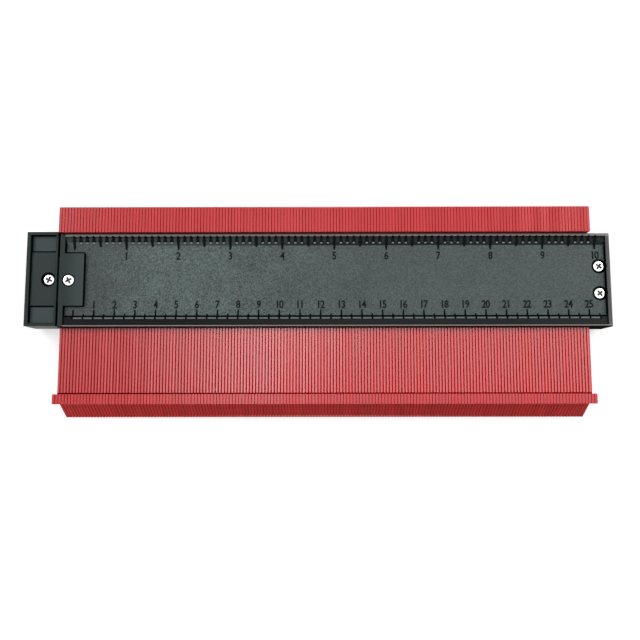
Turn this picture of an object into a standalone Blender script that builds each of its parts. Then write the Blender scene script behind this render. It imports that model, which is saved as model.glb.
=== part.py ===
"""Contour gauge with sliding leaves.

A long row of thin leaves slides between a front and a back cover, so the row
takes up the outline that it is pushed against. A block at the left end slides
on two tongues inside the covers and squeezes the row, and a short screw clamps
the front tongue where it is set. X runs along the row, Y points from the toes
of the leaves to their tails, and Z is up from the table that the leaves lie on.
The origin is the middle of the whole gauge on the table.
"""

import math

import bmesh
import bpy
from mathutils import Matrix, Vector

# Leaves
BANKS = 43
LEAVES_PER_BANK = 4
LEAF_PITCH = 0.001497
LEAF_THICKNESS = 0.0012
LEAF_LENGTH = 0.1021
LEAF_HEIGHT = 0.020
NECK_HEIGHT = 0.0072
TAIL_LENGTH = 0.0126
HEAD_LENGTH = 0.0047
TOE_LENGTH = 0.0067
TOE_HEIGHT = 0.010
NECK_CHAMFER = 0.00025
NECK_ROOT = 0.0002

# Clearances
CLEARANCE = 0.0003
TONGUE_CLEARANCE = 0.0002
SCREW_CLEARANCE = 0.00015

# Covers
COVER_WIDTH = 0.0457
COVER_STACK_HEIGHT = 0.015
END_WALL_LENGTH = 0.0098
CORNER_RADIUS = 0.0010
EDGE_CHAMFER = 0.0003

# Ruler panel sunk into each cover
PANEL_DEPTH = 0.0019
FRONT_RIM_WIDTH = 0.0009
REAR_RIM_WIDTH = 0.00135
RIGHT_RIM_WIDTH = 0.0020
LEDGE_DROP = 0.0010
LEDGE_SLOPE = 0.0001
FRONT_LEDGE_WIDTH = 0.0042
FRONT_LEDGE_FOOT = 0.00075
REAR_LEDGE_WIDTH = 0.0027
REAR_LEDGE_FOOT = 0.00145
T_BAND_LENGTH = 0.0024
T_TAB_LENGTH = 0.0095
T_TAB_WIDTH = 0.0256
T_TAB_OFFSET = 0.0004

# Friction strips under the rims
STRIP_WIDTH = 0.0028
STRIP_THICKNESS = 0.0008
STRIP_INSET = 0.0013
STRIP_END_INSET = 0.0015

# Sliding block at the left end
BLOCK_LENGTH = 0.0153
BLOCK_GAP = 0.0010
BLOCK_FRONT_STEP = 0.0006
BLOCK_REAR_STEP = 0.00115
BLOCK_LEFT_RIM_WIDTH = 0.0020
BLOCK_RIGHT_RIM_WIDTH = 0.0009
BLOCK_FRONT_RIM_WIDTH = 0.0013
BLOCK_REAR_RIM_WIDTH = 0.0016
BLOCK_PANEL_DEPTH = 0.0013
BLOCK_POCKET_DEPTH = 0.0020
BLOCK_PANEL_WIDTH = 0.0269
BLOCK_TRAVEL = 0.0020
PRESSURE_PLATE_THICKNESS = 0.0004

# Tongues of the block and their tunnels in the covers
TONGUE_WIDTH = 0.0226
TONGUE_THICKNESS = 0.0008
TONGUE_REACH = 0.0108
TONGUE_ROOT = 0.0030
TUNNEL_FLOOR = 0.0008

# Screws
HEAD_RADIUS = 0.00275
HEAD_THICKNESS = 0.0011
COUNTERBORE_RADIUS = 0.0032
SHANK_RADIUS = 0.0010
CLAMP_SCREW_FROM_COVER_END = 0.0047
CLAMP_COUNTERBORE_DEPTH = 0.0010
BLOCK_SCREW_FROM_BLOCK_END = 0.0046
BLOCK_SCREW_OFFSET = -0.0003
BLOCK_COUNTERBORE_DEPTH = 0.0020
END_SCREW_FROM_COVER_END = 0.0049
END_SCREW_SPACING = 0.0133
END_SCREW_OFFSET = 0.0001
END_COUNTERBORE_DEPTH = 0.0012
LONG_SCREW_TIP = 0.0012
CROSS_SIZE = 0.0026
CROSS_WIDTH = 0.0006
CROSS_DEPTH = 0.0006

# Facets of a round shape
ROUND_SEGMENTS = 20
CORNER_SEGMENTS = 3
SMOOTH_ANGLE = math.radians(40)

# Worked out along X
LEAVES = BANKS * LEAVES_PER_BANK
ROW_LENGTH = (LEAVES - 1) * LEAF_PITCH + LEAF_THICKNESS
COVER_LENGTH = ROW_LENGTH + CLEARANCE + END_WALL_LENGTH
GAUGE_LENGTH = BLOCK_LENGTH + BLOCK_GAP + COVER_LENGTH
BLOCK_LEFT = -GAUGE_LENGTH / 2
BLOCK_RIGHT = BLOCK_LEFT + BLOCK_LENGTH
COVER_LEFT = BLOCK_RIGHT + BLOCK_GAP
COVER_RIGHT = COVER_LEFT + COVER_LENGTH
ROW_LEFT = COVER_LEFT
END_WALL_LEFT = COVER_RIGHT - END_WALL_LENGTH

# Worked out along Y
TAIL_END = LEAF_LENGTH / 2
TAIL_START = TAIL_END - TAIL_LENGTH
TOE_TIP = -LEAF_LENGTH / 2
HEAD_FRONT = TOE_TIP + TOE_LENGTH
HEAD_REAR = HEAD_FRONT + HEAD_LENGTH
COVER_REAR = TAIL_START - CLEARANCE
COVER_FRONT = COVER_REAR - COVER_WIDTH
COVER_MIDDLE = (COVER_FRONT + COVER_REAR) / 2
TAB_MIDDLE = COVER_MIDDLE + T_TAB_OFFSET
BLOCK_FRONT = COVER_FRONT + BLOCK_FRONT_STEP
BLOCK_REAR = COVER_REAR + BLOCK_REAR_STEP
BLOCK_MIDDLE = (BLOCK_FRONT + BLOCK_REAR) / 2

# Worked out along Z, as heights above the middle plane of the gauge
MIDDLE = LEAF_HEIGHT / 2
TOP = COVER_STACK_HEIGHT / 2
SPLIT = CLEARANCE / 2
CEILING = NECK_HEIGHT / 2 + CLEARANCE
PANEL = TOP - PANEL_DEPTH
TUNNEL_BOTTOM = CEILING + TUNNEL_FLOOR
TONGUE_BOTTOM = TUNNEL_BOTTOM + TONGUE_CLEARANCE
TONGUE_TOP = TONGUE_BOTTOM + TONGUE_THICKNESS
TUNNEL_TOP = TONGUE_TOP + TONGUE_CLEARANCE
TUNNEL_END = COVER_LEFT + TONGUE_REACH - BLOCK_GAP + TONGUE_CLEARANCE
PAST = 0.002

# Screw places
CLAMP_SCREW = (COVER_LEFT + CLAMP_SCREW_FROM_COVER_END, COVER_MIDDLE)
BLOCK_SCREW = (BLOCK_RIGHT - BLOCK_SCREW_FROM_BLOCK_END, BLOCK_MIDDLE + BLOCK_SCREW_OFFSET)
END_SCREW_X = COVER_RIGHT - END_SCREW_FROM_COVER_END
END_SCREW_YS = [
    COVER_MIDDLE + END_SCREW_OFFSET + side * END_SCREW_SPACING / 2 for side in (-1, 1)
]

FRONT, BACK = 1, -1


def clear_scene():
    for item in list(bpy.data.objects):
        bpy.data.objects.remove(item, do_unlink=True)


def make_material(name, colour, roughness, metallic=0.0):
    material = bpy.data.materials.new(name)
    material.use_nodes = True
    shader = material.node_tree.nodes["Principled BSDF"]
    shader.inputs["Base Color"].default_value = (*colour, 1.0)
    shader.inputs["Roughness"].default_value = roughness
    shader.inputs["Metallic"].default_value = metallic
    material.diffuse_color = (*colour, 1.0)
    return material


def add_object(name, mesh_edit, material=None, smooth=False):
    """Turn a bmesh into an object with its normals pointing out."""
    bmesh.ops.recalc_face_normals(mesh_edit, faces=mesh_edit.faces)
    mesh = bpy.data.meshes.new(name)
    mesh_edit.to_mesh(mesh)
    mesh_edit.free()
    if smooth:
        mesh.shade_smooth()
        mesh.set_sharp_from_angle(angle=SMOOTH_ANGLE)
    item = bpy.data.objects.new(name, mesh)
    bpy.context.collection.objects.link(item)
    if material:
        mesh.materials.append(material)
    return item


def to_side(mesh_edit, side):
    """Take heights from the middle plane to the front or the back of the gauge."""
    bmesh.ops.transform(mesh_edit, matrix=Matrix.Diagonal((1, 1, side, 1)), verts=mesh_edit.verts)
    bmesh.ops.translate(mesh_edit, vec=(0, 0, MIDDLE), verts=mesh_edit.verts)


def new_box(x, y, height):
    """A bmesh box from (low, high) pairs."""
    box = bmesh.new()
    bmesh.ops.create_cube(box, size=1)
    size = Vector((x[1] - x[0], y[1] - y[0], height[1] - height[0]))
    middle = Vector((x[0] + x[1], y[0] + y[1], height[0] + height[1])) / 2
    bmesh.ops.scale(box, vec=size, verts=box.verts)
    bmesh.ops.translate(box, vec=middle, verts=box.verts)
    return box


def new_cylinder(x, y, height, radius):
    """A bmesh cylinder along Z from a (low, high) height."""
    cylinder = bmesh.new()
    place = Matrix.Translation((x, y, sum(height) / 2))
    bmesh.ops.create_cone(
        cylinder,
        cap_ends=True,
        segments=ROUND_SEGMENTS,
        radius1=radius,
        radius2=radius,
        depth=height[1] - height[0],
        matrix=place,
    )
    return cylinder


def new_prism(points, sweep):
    """A bmesh prism from an outline of corner points, swept by a vector."""
    prism = bmesh.new()
    face = prism.faces.new([prism.verts.new(point) for point in points])
    swept = bmesh.ops.extrude_face_region(prism, geom=[face])
    moved = [item for item in swept["geom"] if isinstance(item, bmesh.types.BMVert)]
    bmesh.ops.translate(prism, vec=sweep, verts=moved)
    return prism


def hide_tool(item):
    item.hide_render = True
    item.display_type = "WIRE"
    return item


def add_tool(name, mesh_edit, side):
    """A hidden object that cuts or joins another."""
    to_side(mesh_edit, side)
    return hide_tool(add_object(name, mesh_edit))


def combine(item, tool, operation="DIFFERENCE"):
    modifier = item.modifiers.new(tool.name, "BOOLEAN")
    modifier.operation = operation
    modifier.solver = "EXACT"
    modifier.object = tool


def new_housing(x, y):
    """The outer block of a cover or a block half, with round corners and a chamfered rim."""
    housing = new_box(x, y, (SPLIT, TOP))
    upright = [edge for edge in housing.edges if abs(edge.verts[0].co.z - edge.verts[1].co.z) > SPLIT]
    bmesh.ops.bevel(
        housing,
        geom=upright,
        offset=CORNER_RADIUS,
        segments=CORNER_SEGMENTS,
        profile=0.5,
        affect="EDGES",
    )
    rim = [edge for edge in housing.edges if all(abs(v.co.z - TOP) < SPLIT / 10 for v in edge.verts)]
    bmesh.ops.bevel(
        housing, geom=rim, offset=EDGE_CHAMFER, segments=1, profile=0.5, affect="EDGES"
    )
    return housing


def ledge_outline(x):
    """Cross-section of the sunk panel with a stepped ledge along both long edges."""
    edges = (
        (COVER_FRONT, 1, FRONT_RIM_WIDTH, FRONT_LEDGE_WIDTH, FRONT_LEDGE_FOOT),
        (COVER_REAR, -1, REAR_RIM_WIDTH, REAR_LEDGE_WIDTH, REAR_LEDGE_FOOT),
    )
    outline = []
    for edge, inward, rim, ledge, foot in edges:
        half = [
            (edge + inward * rim, TOP + PAST),
            (edge + inward * rim, TOP - LEDGE_DROP + LEDGE_SLOPE),
            (edge + inward * (rim + ledge), TOP - LEDGE_DROP),
            (edge + inward * (rim + ledge + foot), PANEL),
        ]
        outline += half if inward > 0 else reversed(half)
    return [(x, y, height) for y, height in outline]


def cut_panel(cover, name, side):
    """Sink the ruler panel and leave the T-shaped pad over the tongue."""
    left = COVER_LEFT + T_BAND_LENGTH
    right = COVER_RIGHT - RIGHT_RIM_WIDTH
    panel = add_tool(f"{name}_panel_cut", new_prism(ledge_outline(left), (right - left, 0, 0)), side)
    tab = new_box(
        (left - PAST, left + T_TAB_LENGTH),
        (TAB_MIDDLE - T_TAB_WIDTH / 2, TAB_MIDDLE + T_TAB_WIDTH / 2),
        (0, TOP + 2 * PAST),
    )
    combine(panel, add_tool(f"{name}_tab_keep", tab, side))
    combine(cover, panel)


def cut_row_slot(cover, name, side):
    """Open the slot that the leaf necks slide through."""
    slot = new_box(
        (COVER_LEFT - PAST, END_WALL_LEFT),
        (COVER_FRONT - PAST, COVER_REAR + PAST),
        (-PAST, CEILING),
    )
    combine(cover, add_tool(f"{name}_row_cut", slot, side))


def cut_tunnel(cover, name, side):
    """Open the tunnel that the tongue of the block slides in."""
    reach = TONGUE_WIDTH / 2 + TONGUE_CLEARANCE
    tunnel = new_box(
        (COVER_LEFT - PAST, TUNNEL_END),
        (TAB_MIDDLE - reach, TAB_MIDDLE + reach),
        (TUNNEL_BOTTOM, TUNNEL_TOP),
    )
    combine(cover, add_tool(f"{name}_tunnel_cut", tunnel, side))


def strip_ranges():
    """The places along Y of the two friction strips in a cover."""
    front = COVER_FRONT + STRIP_INSET
    rear = COVER_REAR - STRIP_INSET
    return {"lower": (front, front + STRIP_WIDTH), "upper": (rear - STRIP_WIDTH, rear)}


def strip_ends():
    return COVER_LEFT + STRIP_END_INSET, END_WALL_LEFT - STRIP_END_INSET


def cut_strip_grooves(cover, name, side):
    left, right = strip_ends()
    for place, (near, far) in strip_ranges().items():
        groove = new_box(
            (left - CLEARANCE, right + CLEARANCE),
            (near - CLEARANCE, far + CLEARANCE),
            (0, CEILING + STRIP_THICKNESS + CLEARANCE),
        )
        combine(cover, add_tool(f"{name}_{place}_groove_cut", groove, side))


def cut_round(item, name, place, height, radius, side):
    combine(item, add_tool(name, new_cylinder(*place, height, radius), side))


def cut_screw_seat(item, name, place, seat, side=FRONT):
    """A counterbore for the head and a clear hole for the shank below it."""
    cut_round(item, f"{name}_seat_cut", place, (seat, TOP + PAST), COUNTERBORE_RADIUS, side)
    clear = SHANK_RADIUS + SCREW_CLEARANCE
    cut_round(item, f"{name}_hole_cut", place, (-PAST, seat + PAST / 2), clear, side)


def cut_blind_hole(item, name, place, side=BACK):
    """The hole in a back half that the tip of a long screw holds in."""
    clear = SHANK_RADIUS + SCREW_CLEARANCE
    depth = TOP - LONG_SCREW_TIP - PANEL_DEPTH + SCREW_CLEARANCE
    cut_round(item, f"{name}_blind_cut", place, (-PAST, depth), clear, side)


def make_cover(name, side, material):
    housing = new_housing((COVER_LEFT, COVER_RIGHT), (COVER_FRONT, COVER_REAR))
    to_side(housing, side)
    cover = add_object(name, housing, material)
    cut_row_slot(cover, name, side)
    cut_panel(cover, name, side)
    cut_tunnel(cover, name, side)
    cut_strip_grooves(cover, name, side)
    return cover


def make_covers(material):
    front = make_cover("front_cover", FRONT, material)
    back = make_cover("back_cover", BACK, material)
    cut_screw_seat(front, "clamp_screw", CLAMP_SCREW, TOP - CLAMP_COUNTERBORE_DEPTH)
    for number, y in enumerate(END_SCREW_YS, 1):
        place = (END_SCREW_X, y)
        cut_screw_seat(front, f"end_screw_{number}", place, PANEL - END_COUNTERBORE_DEPTH)
        cut_blind_hole(back, f"end_screw_{number}", place)


def make_strips(material):
    """Friction strips in the covers that rub on the leaf necks."""
    left, right = strip_ends()
    for name, side in (("front", FRONT), ("back", BACK)):
        for place, across in strip_ranges().items():
            strip = new_box((left, right), across, (CEILING, CEILING + STRIP_THICKNESS))
            to_side(strip, side)
            add_object(f"friction_strip_{name}_{place}", strip, material)


def cut_block_panel(half, name, side):
    """Sink the panel of the block, with a deeper pocket at each end of it."""
    across = (BLOCK_FRONT + BLOCK_FRONT_RIM_WIDTH, BLOCK_REAR - BLOCK_REAR_RIM_WIDTH)
    along = (BLOCK_LEFT + BLOCK_LEFT_RIM_WIDTH, BLOCK_RIGHT - BLOCK_RIGHT_RIM_WIDTH)
    panel = new_box(along, across, (TOP - BLOCK_PANEL_DEPTH, TOP + PAST))
    combine(half, add_tool(f"{name}_panel_cut", panel, side))
    pockets = {
        "lower": (across[0], BLOCK_MIDDLE - BLOCK_PANEL_WIDTH / 2),
        "upper": (BLOCK_MIDDLE + BLOCK_PANEL_WIDTH / 2, across[1]),
    }
    for place, pocket_across in pockets.items():
        pocket = new_box(along, pocket_across, (TOP - BLOCK_POCKET_DEPTH, TOP + PAST))
        combine(half, add_tool(f"{name}_{place}_pocket_cut", pocket, side))


def new_tongue():
    """The flat tongue with its open length, rooted in the block."""
    return new_box(
        (BLOCK_RIGHT - TONGUE_ROOT, BLOCK_RIGHT + TONGUE_REACH),
        (TAB_MIDDLE - TONGUE_WIDTH / 2, TAB_MIDDLE + TONGUE_WIDTH / 2),
        (TONGUE_BOTTOM, TONGUE_TOP),
    )


def cut_clamp_slot(half, name):
    """The slot that lets the block move away while the clamp screw stays."""
    reach = SHANK_RADIUS + CLEARANCE
    left, middle = CLAMP_SCREW
    right = left + BLOCK_TRAVEL
    slot = new_box((left, right), (middle - reach, middle + reach), (CEILING, TUNNEL_TOP))
    tool = add_tool(f"{name}_slot_cut", slot, FRONT)
    for number, x in enumerate((left, right), 1):
        end = new_cylinder(x, middle, (CEILING, TUNNEL_TOP), reach)
        combine(tool, add_tool(f"{name}_slot_end_{number}", end, FRONT), "UNION")
    combine(half, tool)


def make_block(material):
    """The sliding block, in two halves that a long screw holds together."""
    halves = {}
    for name, side in (("tension_block_front", FRONT), ("tension_block_back", BACK)):
        housing = new_housing((BLOCK_LEFT, BLOCK_RIGHT), (BLOCK_FRONT, BLOCK_REAR))
        to_side(housing, side)
        half = add_object(name, housing, material)
        combine(half, add_tool(f"{name}_tongue", new_tongue(), side), "UNION")
        cut_block_panel(half, name, side)
        halves[side] = half
    cut_clamp_slot(halves[FRONT], "clamp")
    seat = TOP - BLOCK_PANEL_DEPTH - BLOCK_COUNTERBORE_DEPTH
    cut_screw_seat(halves[FRONT], "block_screw", BLOCK_SCREW, seat)
    cut_blind_hole(halves[BACK], "block_screw", BLOCK_SCREW)


def make_pressure_plate(material):
    """The thin plate that spreads the push of the block over the first leaf."""
    left = BLOCK_RIGHT + CLEARANCE
    reach = NECK_HEIGHT / 2
    plate = new_box(
        (left, left + PRESSURE_PLATE_THICKNESS),
        (BLOCK_FRONT + CLEARANCE, COVER_REAR - CLEARANCE),
        (-reach, reach),
    )
    to_side(plate, FRONT)
    add_object("pressure_plate", plate, material)


def new_screw(place, seat, tip):
    """A pan head with a cross recess on a plain shank, from its seat to its tip."""
    x, y = place
    under = seat + SCREW_CLEARANCE
    screw = new_cylinder(x, y, (under, under + HEAD_THICKNESS), HEAD_RADIUS)
    crown = [
        edge
        for edge in screw.edges
        if all(abs(v.co.z - under - HEAD_THICKNESS) < SCREW_CLEARANCE / 10 for v in edge.verts)
    ]
    bmesh.ops.bevel(
        screw, geom=crown, offset=HEAD_THICKNESS / 2, segments=2, profile=0.5, affect="EDGES"
    )
    flat = min(screw.faces, key=lambda face: face.calc_center_median().z)
    bmesh.ops.inset_region(screw, faces=[flat], thickness=HEAD_RADIUS - SHANK_RADIUS)
    shank = bmesh.ops.extrude_discrete_faces(screw, faces=[flat])["faces"]
    bmesh.ops.translate(screw, vec=(0, 0, tip - under), verts=shank[0].verts)
    return screw


def add_screw(name, place, seat, tip, material):
    """A screw with a cross cut into its head."""
    screw = new_screw(place, seat, tip)
    to_side(screw, FRONT)
    item = add_object(name, screw, material, smooth=True)
    x, y = place
    top = seat + SCREW_CLEARANCE + HEAD_THICKNESS
    arms = ((CROSS_SIZE / 2, CROSS_WIDTH / 2), (CROSS_WIDTH / 2, CROSS_SIZE / 2))
    for number, (along, across) in enumerate(arms, 1):
        cross = new_box((x - along, x + along), (y - across, y + across), (top - CROSS_DEPTH, top + PAST))
        combine(item, add_tool(f"{name}_cross_{number}", cross, FRONT))


def make_screws(material):
    long_tip = -(TOP - LONG_SCREW_TIP - PANEL_DEPTH)
    clamp_seat = TOP - CLAMP_COUNTERBORE_DEPTH
    add_screw("clamp_screw", CLAMP_SCREW, clamp_seat, CEILING, material)
    block_seat = TOP - BLOCK_PANEL_DEPTH - BLOCK_COUNTERBORE_DEPTH
    add_screw("block_screw", BLOCK_SCREW, block_seat, long_tip, material)
    for number, y in enumerate(END_SCREW_YS, 1):
        seat = PANEL - END_COUNTERBORE_DEPTH
        add_screw(f"end_screw_{number}", (END_SCREW_X, y), seat, long_tip, material)


def head_outline():
    """Side view of a leaf's head, with the sloping toe that follows the outline."""
    return [
        (HEAD_REAR, LEAF_HEIGHT),
        (HEAD_FRONT, LEAF_HEIGHT),
        (HEAD_FRONT, TOE_HEIGHT),
        (TOE_TIP, 0),
        (HEAD_REAR, 0),
    ]


def tail_outline():
    """Side view of a leaf's tail, a plain plate of full height."""
    return [
        (TAIL_END, 0),
        (TAIL_END, LEAF_HEIGHT),
        (TAIL_START, LEAF_HEIGHT),
        (TAIL_START, 0),
    ]


def neck_outline():
    """Section across the necks of a bank, which touch below their chamfered edges."""
    edge = []
    for number in range(LEAVES_PER_BANK):
        left = number * LEAF_PITCH
        edge += [(left, 0), (left + LEAF_THICKNESS, 0)]
        if number < LEAVES_PER_BANK - 1:
            edge.append(((LEAF_THICKNESS + LEAF_PITCH) / 2 + left, NECK_CHAMFER))
    top = [(x, MIDDLE + NECK_HEIGHT / 2 - depth) for x, depth in edge]
    bottom = [(x, MIDDLE - NECK_HEIGHT / 2 + depth) for x, depth in reversed(edge)]
    return top + bottom


def new_leaf_ends(outline):
    """The heads or the tails of a bank, which stand apart from each other."""
    ends = new_prism([(0, y, z) for y, z in outline], (LEAF_THICKNESS, 0, 0))
    first = list(ends.verts) + list(ends.edges) + list(ends.faces)
    for number in range(1, LEAVES_PER_BANK):
        copy = bmesh.ops.duplicate(ends, geom=first)["geom"]
        moved = [item for item in copy if isinstance(item, bmesh.types.BMVert)]
        bmesh.ops.translate(ends, vec=(number * LEAF_PITCH, 0, 0), verts=moved)
    return ends


def make_bank_mesh(material):
    """One bank of leaves, whose heads and tails join the row of necks."""
    start = HEAD_REAR - NECK_ROOT
    length = TAIL_START + NECK_ROOT - start
    necks = new_prism([(x, start, z) for x, z in neck_outline()], (0, length, 0))
    shape = hide_tool(add_object("leaf_bank_shape", necks, material))
    for name, outline in (("heads", head_outline()), ("tails", tail_outline())):
        ends = hide_tool(add_object(f"leaf_{name}_join", new_leaf_ends(outline)))
        combine(shape, ends, "UNION")
    bpy.context.view_layer.update()
    graph = bpy.context.evaluated_depsgraph_get()
    return bpy.data.meshes.new_from_object(shape.evaluated_get(graph))


def make_leaf_banks(material):
    """Each bank of leaves slides by itself."""
    mesh = make_bank_mesh(material)
    for bank in range(BANKS):
        item = bpy.data.objects.new(f"leaf_bank_{bank + 1:02d}", mesh)
        item.location.x = ROW_LEFT + bank * LEAVES_PER_BANK * LEAF_PITCH
        bpy.context.collection.objects.link(item)


def main():
    clear_scene()
    black = make_material("black_plastic", (0.030, 0.034, 0.034), 0.45)
    red = make_material("red_plastic", (0.50, 0.045, 0.040), 0.35)
    steel = make_material("plated_steel", (0.80, 0.80, 0.78), 0.25, 1.0)
    felt = make_material("friction_felt", (0.02, 0.02, 0.02), 0.95)
    make_covers(black)
    make_strips(felt)
    make_block(black)
    make_pressure_plate(steel)
    make_screws(steel)
    make_leaf_banks(red)


main()
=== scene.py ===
"""Looks of a contour gauge: a row of thin red leaves held between two black covers.

X runs along the row, Y points from the toes of the leaves to their tails, and Z is up
from the table. Lengths are in metres.
"""

import math

import bmesh
import bpy
from mathutils import Matrix, Vector


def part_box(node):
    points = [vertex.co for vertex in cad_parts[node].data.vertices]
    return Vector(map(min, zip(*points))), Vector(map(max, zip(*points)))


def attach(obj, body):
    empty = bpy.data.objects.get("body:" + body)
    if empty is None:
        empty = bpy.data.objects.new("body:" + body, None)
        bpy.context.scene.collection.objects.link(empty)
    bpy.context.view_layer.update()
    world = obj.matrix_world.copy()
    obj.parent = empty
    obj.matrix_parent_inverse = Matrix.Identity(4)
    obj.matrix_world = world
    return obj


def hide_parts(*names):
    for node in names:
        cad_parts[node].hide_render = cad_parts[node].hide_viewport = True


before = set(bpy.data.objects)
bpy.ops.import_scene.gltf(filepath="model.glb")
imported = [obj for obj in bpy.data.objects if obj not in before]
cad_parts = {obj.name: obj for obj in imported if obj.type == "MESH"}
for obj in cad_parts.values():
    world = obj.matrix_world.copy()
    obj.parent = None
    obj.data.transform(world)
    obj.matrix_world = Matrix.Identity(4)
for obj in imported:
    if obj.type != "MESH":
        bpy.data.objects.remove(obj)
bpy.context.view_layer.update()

MM = 0.001
INCH = 25.4 * MM

# Lengths within which two places count as one, and two faces as level
NEAR = 0.02 * MM
LEVEL = 0.1 * MM

# How much of a normal must point one way: along an axis, out of a flank, leaning, on a slope
ALONG = 0.9
FLANK = 0.8
LEANING = 0.3
SLOPING = 0.2

# Angles that part flat from sharp
FLAT_LEAF = math.radians(1)
FLAT_SHELL = math.radians(0.5)
SHARP = math.radians(20)
ROUNDED_SHARP = math.radians(25)
SHARP_METAL = math.radians(30)

# Places that the frame gives
COVER_LOW, COVER_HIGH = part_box("front_cover")
BLOCK_LOW, BLOCK_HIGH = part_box("tension_block_front")
BANK_LOW, BANK_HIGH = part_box("leaf_bank_01")
NEXT_BANK_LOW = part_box("leaf_bank_02")[0]
BANKS = sum(1 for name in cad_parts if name.startswith("leaf_bank_"))
TOP = COVER_HIGH.z
MIDDLE = BANK_HIGH.z / 2

# Leaves
LEAVES_PER_BANK = 4
LEAF_PITCH = (NEXT_BANK_LOW.x - BANK_LOW.x) / LEAVES_PER_BANK
LEAF_GAP = 0.22 * MM
LEAF_WIDTH = LEAF_PITCH - LEAF_GAP
LEAF_CENTRE = (BANK_LOW.x + BANK_HIGH.x - (LEAVES_PER_BANK - 1) * LEAF_PITCH) / 2
NECK_HEIGHT = 7.2 * MM
TAIL_LENGTH = 12.6 * MM
HEAD_LENGTH = 4.7 * MM
TOE_LENGTH = 6.7 * MM
TOE_HEIGHT = 10 * MM
TAIL_CHAMFER = 0.6 * MM
LEAF_ROUNDING = 0.2 * MM
NECK_ROUNDING = 0.46 * MM
SPACER_INSET = 0.5 * MM
SPACER_HEIGHT = 0.215 * MM
RELIEF_WIDTH = 0.7 * MM
RELIEF_DEPTH = 0.9 * MM
LEAF_REAR = BANK_HIGH.y
LEAF_TIP = BANK_LOW.y
NECK_REAR = LEAF_REAR - TAIL_LENGTH
HEAD_FRONT = LEAF_TIP + TOE_LENGTH
HEAD_REAR = HEAD_FRONT + HEAD_LENGTH
RELIEF_REAR = HEAD_REAR + RELIEF_WIDTH
NECK_BOTTOM = MIDDLE - NECK_HEIGHT / 2
NECK_TOP = MIDDLE + NECK_HEIGHT / 2

# Ruler panel of the front cover, whose steps are measured from its own two long edges
PANEL_Z = TOP - 1.9 * MM
LEDGE_Z = TOP - 1.0 * MM
FRONT_RIM = 0.9 * MM
FRONT_SHADE = 0.42 * MM
FRONT_LEDGE = FRONT_RIM + 4.2 * MM
FRONT_PANEL = FRONT_LEDGE + 0.75 * MM
REAR_RIM = 1.35 * MM
REAR_LEDGE = REAR_RIM + 2.7 * MM
REAR_PANEL = REAR_LEDGE + 1.45 * MM
BAND_LENGTH = 2.4 * MM
PAD_LENGTH = 9.5 * MM
PAD_REAR = 13.2 * MM
# Widths of the dark bars of painted shade at the left end of the rear ledge and behind the pad
END_SHADE = 0.7 * MM
PAD_SHADE = 1.1 * MM
COVER_FRONT = COVER_LOW.y
COVER_REAR = COVER_HIGH.y
COVER_MIDDLE = (COVER_FRONT + COVER_REAR) / 2
BAND_END = COVER_LOW.x + BAND_LENGTH
RIGHT_RIM = 2.0 * MM
RULER_END = COVER_HIGH.x - RIGHT_RIM
EDGE_ROUNDING = 0.14 * MM
CORNER_RADIUS = 1.0 * MM
# Width of the ring of painted shade along the inner corners of the sunk panels
CORNER_SHADE = 0.4 * MM

# Depths that tell outer sides, rims and screw seats from the rest when a shell is painted
OUTER_SKIN = 0.35 * MM
RIM_SKIN = 0.4 * MM
SEAT_DROP = 0.5 * MM

# Sliding block, whose tongue isn't counted in its length
BLOCK_LENGTH = 15.3 * MM
BLOCK_PANEL_Z = TOP - 1.3 * MM
POCKET_Z = TOP - 2.0 * MM

# Scales
CENTIMETRE_ZERO = COVER_LOW.x + 6.86 * MM
CENTIMETRES = 25
HALF_CENTIMETRE = 5 * MM
HALF_CENTIMETRES = 51
MILLIMETRES = HALF_CENTIMETRES * 5
INCH_ZERO = COVER_LOW.x + 6.57 * MM
INCHES = 10
EIGHTH = INCH / 8
EIGHTHS = INCHES * 8
MARK_HEIGHT = 0.25 * MM
MARK_SINK = 0.1 * MM
TICK_ROUNDING = 0.06 * MM
BAR_ROUNDING = 0.15 * MM
TICK_WIDTH = 0.8 * MM
INCH_TICK_WIDTH = 1.15 * MM
EIGHTH_TICK_WIDTH = 1.1 * MM
TICK_NARROWING = 0.6
WEDGE_WIDTH = 1.1 * MM
WEDGE_LENGTH = 2.5 * MM
WEDGE_WIDENING = 1.75
WEDGE_TOP = LEDGE_Z + 0.3 * MM
FINE_TICK_WIDTH = 0.35 * MM
FINE_TICK_GAP = 0.3 * MM
FINE_TICK_TOP = LEDGE_Z + 0.06 * MM
# Raised lips of the centimetre scale, given a pale colour as a painted highlight
LIP_TOP = LEDGE_Z + 0.35 * MM
LIP_START = 3.95 * MM
LIP_WIDTH = 0.85 * MM
# Dark bar of painted shade along the foot of the centimetre lips
SHADE_LINE_START = 4.8 * MM
SHADE_LINE_WIDTH = 0.5 * MM
SHADE_LINE_TOP = LEDGE_Z + 0.05 * MM
LIP_LENGTH = 4.15 * MM
PAD_SHADE_TOP = PANEL_Z + 0.04 * MM
END_SHADE_TOP = LEDGE_Z + 0.04 * MM
# Pale spots at the ends of the short inch ticks, a painted highlight
DOT_LENGTH = 0.7 * MM
DOT_WIDTH = 1.0 * MM
DOT_TOP = LEDGE_Z + 0.1 * MM
ROOT_WIDTH = 1.1 * MM
ROOT_LENGTH = 0.9 * MM
ROOT_TOP = TOP + 0.03 * MM
INCH_TICK_START = REAR_RIM - 0.05 * MM
HALF_TICK_END = 6.6 * MM
CENTIMETRE_TICK_END = 8.6 * MM
HALF_INCH_TICK_END = 6.1 * MM
INCH_TICK_END = 7.6 * MM
CENTIMETRE_DIGIT_START = 9.25 * MM
CENTIMETRE_DIGIT_HEIGHT = 3.8 * MM
INCH_DIGIT_END = 8.7 * MM
INCH_DIGIT_HEIGHT = 3.8 * MM
DIGIT_NARROWING = 0.85
DIGIT_BOLDNESS = 0.015
DIGIT_SPACING = 1.95 * MM
DIGIT_STEPS = 3

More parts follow.
